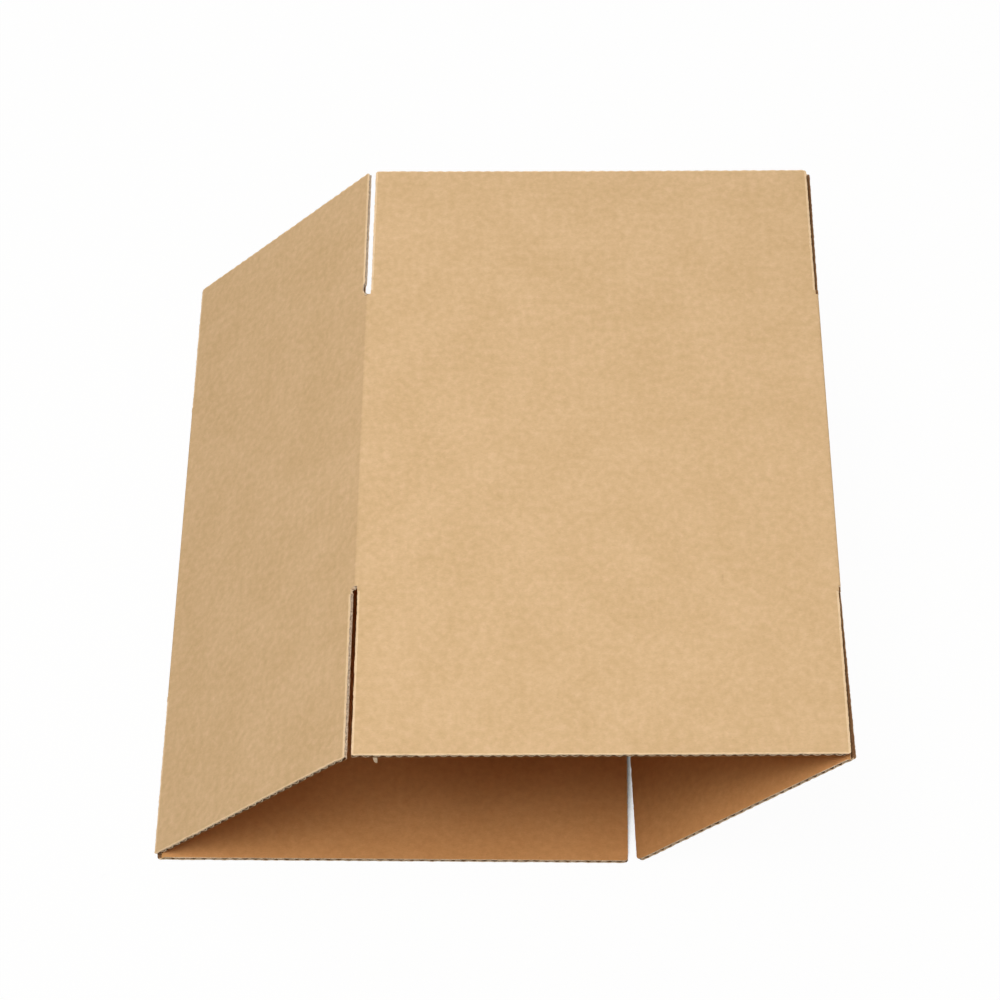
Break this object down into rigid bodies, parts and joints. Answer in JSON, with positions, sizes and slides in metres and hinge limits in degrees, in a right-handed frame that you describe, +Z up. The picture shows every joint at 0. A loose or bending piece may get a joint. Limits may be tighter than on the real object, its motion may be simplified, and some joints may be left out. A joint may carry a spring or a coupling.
{
  "type": "cardboard box",
  "caption": "Slotted corrugated carton on its side, half erected as a leaning tube, with all end flaps open on crease hinges.",
  "frame": {"origin": "middle of the carton's footprint, on the plane it lies on", "axes": "+X along the large panels, towards the side they lean to; +Y through the tube, away from the end the picture shows; +Z up"},
  "size_m": [0.429, 0.472, 0.1269],
  "materials": {
    "kraft_board": "matte unbleached kraft liner, fluted cut edges"
  },
  "bodies": {
    "sleeve": {"sleeve": "kraft_board"},
    "bottom_flap_near": {"bottom_flap_near": "kraft_board"},
    "bottom_flap_far": {"bottom_flap_far": "kraft_board"},
    "right_flap_near": {"right_flap_near": "kraft_board"},
    "right_flap_far": {"right_flap_far": "kraft_board"},
    "top_flap_near": {"top_flap_near": "kraft_board"},
    "top_flap_far": {"top_flap_far": "kraft_board"},
    "left_flap_near": {"left_flap_near": "kraft_board"},
    "left_flap_far": {"left_flap_far": "kraft_board"}
  },
  "joints": [
    {"name": "bottom_flap_near_hinge", "type": "hinge", "parent": "sleeve", "child": "bottom_flap_near", "pos_m": [-0.06561, -0.115, 0], "axis": [1, 0, 0], "range_deg": [0, 175]},
    {"name": "bottom_flap_far_hinge", "type": "hinge", "parent": "sleeve", "child": "bottom_flap_far", "pos_m": [-0.06561, 0.125, 0], "axis": [-1, 0, 0], "range_deg": [0, 175]},
    {"name": "right_flap_near_hinge", "type": "hinge", "parent": "sleeve", "child": "right_flap_near", "pos_m": [0.14894, -0.115, 0.06343], "axis": [0.7133, 0, 0.7009], "range_deg": [0, 173]},
    {"name": "right_flap_far_hinge", "type": "hinge", "parent": "sleeve", "child": "right_flap_far", "pos_m": [0.14894, 0.125, 0.06343], "axis": [-0.7133, 0, -0.7009], "range_deg": [0, 173]},
    {"name": "top_flap_near_hinge", "type": "hinge", "parent": "sleeve", "child": "top_flap_near", "pos_m": [0.06349, -0.115, 0.12687], "axis": [-1, 0, 0], "range_deg": [0, 175]},
    {"name": "top_flap_far_hinge", "type": "hinge", "parent": "sleeve", "child": "top_flap_far", "pos_m": [0.06349, 0.125, 0.12687], "axis": [1, 0, 0], "range_deg": [0, 175]},
    {"name": "left_flap_near_hinge", "type": "hinge", "parent": "sleeve", "child": "left_flap_near", "pos_m": [-0.15106, -0.115, 0.06343], "axis": [-0.7133, 0, -0.7009], "range_deg": [0, 175]},
    {"name": "left_flap_far_hinge", "type": "hinge", "parent": "sleeve", "child": "left_flap_far", "pos_m": [-0.15106, 0.125, 0.06343], "axis": [0.7133, 0, 0.7009], "range_deg": [0, 175]}
  ]
}
